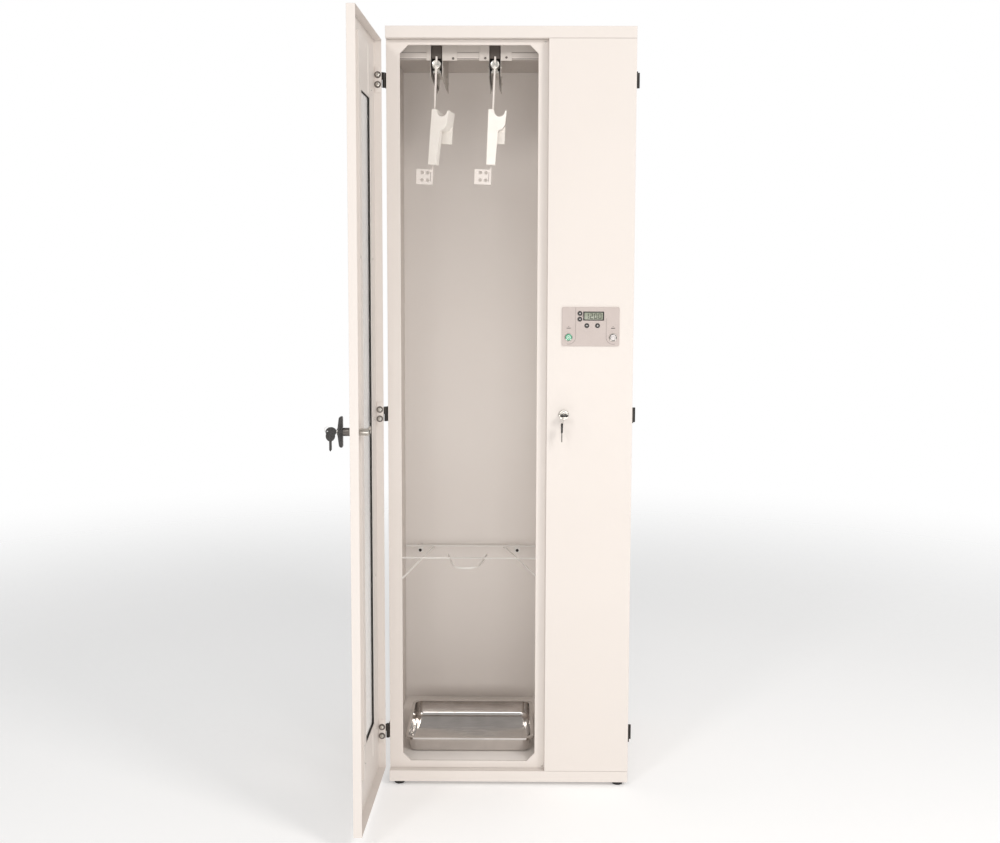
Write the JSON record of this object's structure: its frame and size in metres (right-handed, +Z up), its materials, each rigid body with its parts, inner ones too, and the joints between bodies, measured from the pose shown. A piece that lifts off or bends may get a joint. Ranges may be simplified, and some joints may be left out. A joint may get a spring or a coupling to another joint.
{
  "type": "drying cabinet",
  "caption": "Tall coated-steel drying cabinet for boots and ski wear: glazed chamber door, service door with controls, pull-out hangers, wire shelf and drip tray.",
  "frame": {"origin": "on the floor, under the middle of the whole part as it rests with its chamber door open", "axes": "+Z up, +Y towards the cabinet's back, +X towards the service door's side"},
  "size_m": [0.7128, 0.8586, 1.872],
  "materials": {
    "black_plastic": "moulded, slightly glossy black",
    "black_steel": "black zinc, satin",
    "coating": "satin warm white powder coat with a fine orange peel",
    "glass": "clear",
    "green": "lit green lens",
    "panel": "grey-beige printed foil",
    "rubber": "matte black",
    "stainless": "polished stainless steel",
    "white_plastic": "moulded white, soft sheen",
    "zinc": "bright zinc plate, lightly brushed"
  },
  "bodies": {
    "cabinet": {"side_panel_left": "coating", "side_panel_right": "coating", "back_panel": "coating", "front_frame": "coating", "top_cap": "coating", "plinth": "coating", "partition": "coating", "chamber_floor": "coating", "chamber_ceiling": "coating", "wire_shelf": "coating", "fan_housing": "zinc", "air_heater": "stainless", "controller_box": "panel", "power_inlet": "black_plastic", "hanger_bracket_left": "coating", "hanger_bracket_right": "coating", "foot_front_left": "rubber", "foot_front_right": "rubber", "foot_rear_left": "rubber", "foot_rear_right": "rubber", "hinge_left_bottom_frame": "black_steel", "hinge_left_middle_frame": "black_steel", "hinge_left_top_frame": "black_steel", "hinge_right_bottom_frame": "black_steel", "hinge_right_middle_frame": "black_steel", "hinge_right_top_frame": "black_steel"},
    "left_door": {"left_door_skin": "coating", "left_door_liner": "coating", "door_window": "glass", "hinge_left_bottom_door": "black_steel", "hinge_left_middle_door": "black_steel", "hinge_left_top_door": "black_steel"},
    "right_door": {"right_door_skin": "coating", "control_panel": "panel", "hinge_right_bottom_door": "black_steel", "hinge_right_middle_door": "black_steel", "hinge_right_top_door": "black_steel"},
    "latch": {"t_handle": "black_plastic", "latch_cam": "zinc"},
    "handle_key": {"handle_key": "black_plastic"},
    "handle_spare_key": {"handle_spare_key": "black_plastic"},
    "lock": {"lock_plug": "zinc", "lock_key": "black_plastic"},
    "lock_spare_key": {"lock_spare_key": "black_plastic"},
    "tray": {"drip_tray": "stainless"},
    "impeller": {"fan_impeller": "black_plastic"},
    "button_up": {"button_up": "black_plastic"},
    "button_down": {"button_down": "black_plastic"},
    "button_minus": {"button_minus": "black_plastic"},
    "button_plus": {"button_plus": "black_plastic"},
    "button_start": {"button_start": "green"},
    "button_stop": {"button_stop": "zinc"},
    "slide_left": {"slide_left": "zinc"},
    "carriage_left": {"carriage_left": "zinc"},
    "hanger_left": {"strap_left": "coating", "hook_left": "white_plastic"},
    "slide_right": {"slide_right": "zinc"},
    "carriage_right": {"carriage_right": "zinc"},
    "hanger_right": {"strap_right": "coating", "hook_right": "white_plastic"}
  },
  "joints": [
    {"name": "left_door_hinge", "type": "hinge", "parent": "cabinet", "child": "left_door", "pos_m": [-0.25871, -0.03616, 0.01], "axis": [0, 0, -1], "range_deg": [-92, 88]},
    {"name": "right_door_hinge", "type": "hinge", "parent": "cabinet", "child": "right_door", "pos_m": [0.35249, -0.03616, 0.01], "axis": [0, 0, 1], "range_deg": [0, 110]},
    {"name": "latch_turn", "type": "hinge", "parent": "left_door", "child": "latch", "pos_m": [-0.29533, -0.38269, 0.9405], "axis": [0.9994, -0.0349, 0], "range_deg": [0, 180]},
    {"name": "handle_key_turn", "type": "hinge", "parent": "latch", "child": "handle_key", "pos_m": [-0.3438, -0.381, 0.9405], "axis": [0.9994, -0.0349, 0], "range_deg": [0, 90]},
    {"name": "handle_spare_swing", "type": "hinge", "parent": "handle_key", "child": "handle_spare_key", "pos_m": [-0.34812, -0.37564, 0.9405], "axis": [-0.0349, -0.9994, 0], "range_deg": [-70, 25]},
    {"name": "lock_turn", "type": "hinge", "parent": "right_door", "child": "lock", "pos_m": [0.17889, -0.06066, 0.9425], "axis": [0, 1, 0], "range_deg": [0, 90]},
    {"name": "lock_spare_swing", "type": "hinge", "parent": "lock", "child": "lock_spare_key", "pos_m": [0.17349, -0.08966, 0.9425], "axis": [1, 0, 0], "range_deg": [-70, 20]},
    {"name": "tray_slide", "type": "slide", "parent": "cabinet", "child": "tray", "axis": [0, -0.9439, 0.3304], "range_m": [0, 0.3]},
    {"name": "fan_spin", "type": "hinge", "parent": "cabinet", "child": "impeller", "pos_m": [0.18689, 0.23934, 0.21], "axis": [1, 0, 0], "continuous": true},
    {"name": "button_up_press", "type": "slide", "parent": "right_door", "child": "button_up", "axis": [0, 1, 0], "range_m": [0, 0.0008], "stiffness_N_per_m": 600, "springref_m": -0.0008},
    {"name": "button_down_press", "type": "slide", "parent": "right_door", "child": "button_down", "axis": [0, 1, 0], "range_m": [0, 0.0008], "stiffness_N_per_m": 600, "springref_m": -0.0008},
    {"name": "button_minus_press", "type": "slide", "parent": "right_door", "child": "button_minus", "axis": [0, 1, 0], "range_m": [0, 0.0008], "stiffness_N_per_m": 600, "springref_m": -0.0008},
    {"name": "button_plus_press", "type": "slide", "parent": "right_door", "child": "button_plus", "axis": [0, 1, 0], "range_m": [0, 0.0008], "stiffness_N_per_m": 600, "springref_m": -0.0008},
    {"name": "button_start_press", "type": "slide", "parent": "right_door", "child": "button_start", "axis": [0, 1, 0], "range_m": [0, 0.002], "stiffness_N_per_m": 500, "springref_m": -0.001},
    {"name": "button_stop_press", "type": "slide", "parent": "right_door", "child": "button_stop", "axis": [0, 1, 0], "range_m": [0, 0.002], "stiffness_N_per_m": 500, "springref_m": -0.001},
    {"name": "carriage_left_slide", "type": "slide", "parent": "cabinet", "child": "carriage_left", "axis": [0, -1, 0], "range_m": [0, 0.24]},
    {"name": "slide_left_slide", "type": "slide", "parent": "cabinet", "child": "slide_left", "axis": [0, -1, 0], "range_m": [0, 0.12]},
    {"name": "hanger_left_swing", "type": "hinge", "parent": "carriage_left", "child": "hanger_left", "pos_m": [-0.13411, -0.01466, 1.7905], "axis": [0, -1, 0], "range_deg": [-12, 12]},
    {"name": "carriage_right_slide", "type": "slide", "parent": "cabinet", "child": "carriage_right", "axis": [0, -1, 0], "range_m": [0, 0.24]},
    {"name": "slide_right_slide", "type": "slide", "parent": "cabinet", "child": "slide_right", "axis": [0, -1, 0], "range_m": [0, 0.12]},
    {"name": "hanger_right_swing", "type": "hinge", "parent": "carriage_right", "child": "hanger_right", "pos_m": [0.00789, -0.01466, 1.7905], "axis": [0, -1, 0], "range_deg": [-12, 12]}
  ],
  "couplings": [
    {"joint": "slide_left_slide", "follows": "carriage_left_slide", "ratio": 0.5},
    {"joint": "slide_right_slide", "follows": "carriage_right_slide", "ratio": 0.5}
  ]
}
